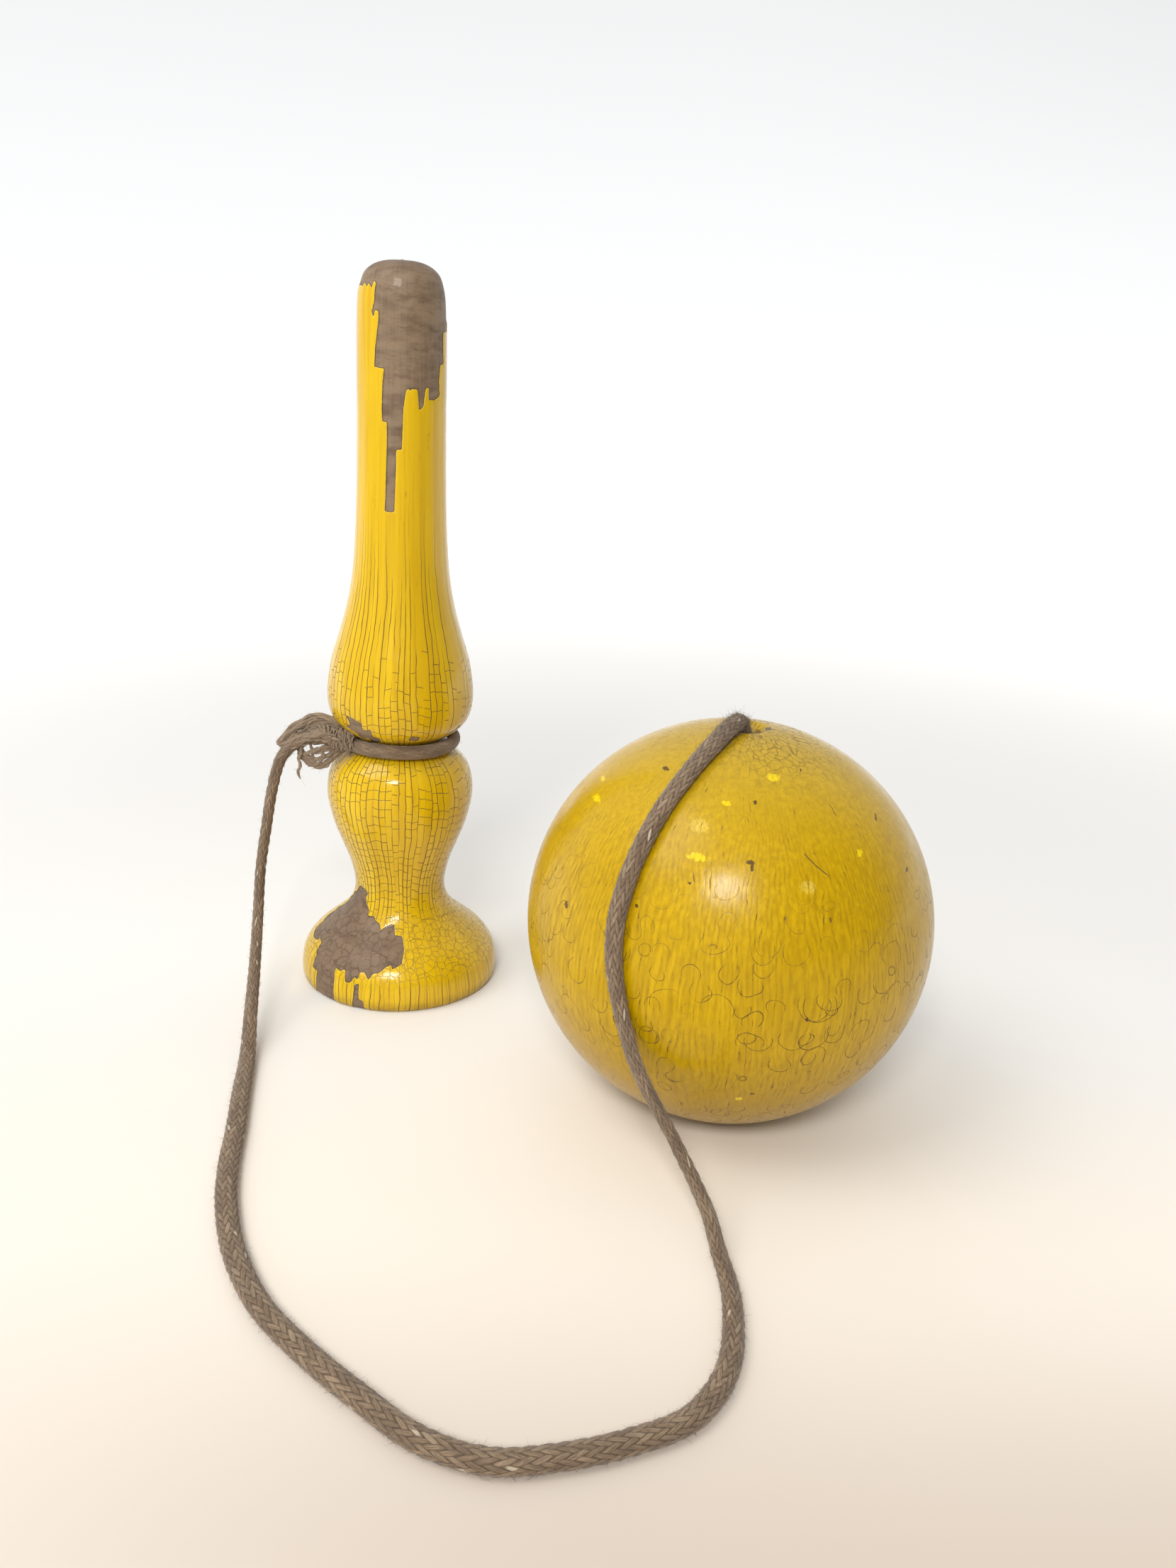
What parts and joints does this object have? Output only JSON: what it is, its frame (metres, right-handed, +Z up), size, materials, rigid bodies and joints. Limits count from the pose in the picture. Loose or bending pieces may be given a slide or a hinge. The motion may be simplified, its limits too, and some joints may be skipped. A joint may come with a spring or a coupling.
{
  "type": "ball and handle catching toy",
  "caption": "Turned wooden catching toy: painted handle on a flared foot, braided cord in its groove, and a large ball with a catch hole.",
  "frame": {"origin": "on the ground, under the middle of the box around the handle and the ball, without the cord", "axes": "+Z up along the handle; +X from the handle towards the ball's side; +Y towards the back"},
  "size_m": [0.1447, 0.1706, 0.16],
  "materials": {
    "handle_paint": "crackled semi-gloss yellow paint, chipped to bare grey-brown wood",
    "ball_paint": "satin mustard yellow paint with fine grain cracks",
    "cotton_cord": "matt braided cotton, fuzzy"
  },
  "bodies": {
    "handle": {"handle": "handle_paint"},
    "cord": {"cord_neck_loop": "cotton_cord", "cord_knot": "cotton_cord", "cord_bow_upper": "cotton_cord", "cord_bow_lower": "cotton_cord", "cord_frayed_tail": "cotton_cord", "cord_slack": "cotton_cord"},
    "ball_cord": {"cord_to_ball": "cotton_cord", "cord_stop_knot": "cotton_cord"},
    "ball": {"ball": "ball_paint"}
  },
  "joints": [
    {"name": "cord_turn", "type": "hinge", "parent": "handle", "child": "cord", "pos_m": [-0.04485, 0.03115, 0.0584], "axis": [0, 0, 1], "continuous": true},
    {"name": "cord_lift", "type": "slide", "parent": "cord", "child": "ball_cord", "axis": [0, 0, 1], "range_m": [0, 0.1]},
    {"name": "ball_spin", "type": "hinge", "parent": "ball_cord", "child": "ball", "pos_m": [0.02785, -0.01415, 0.038], "axis": [0, 0, 1], "continuous": true}
  ]
}
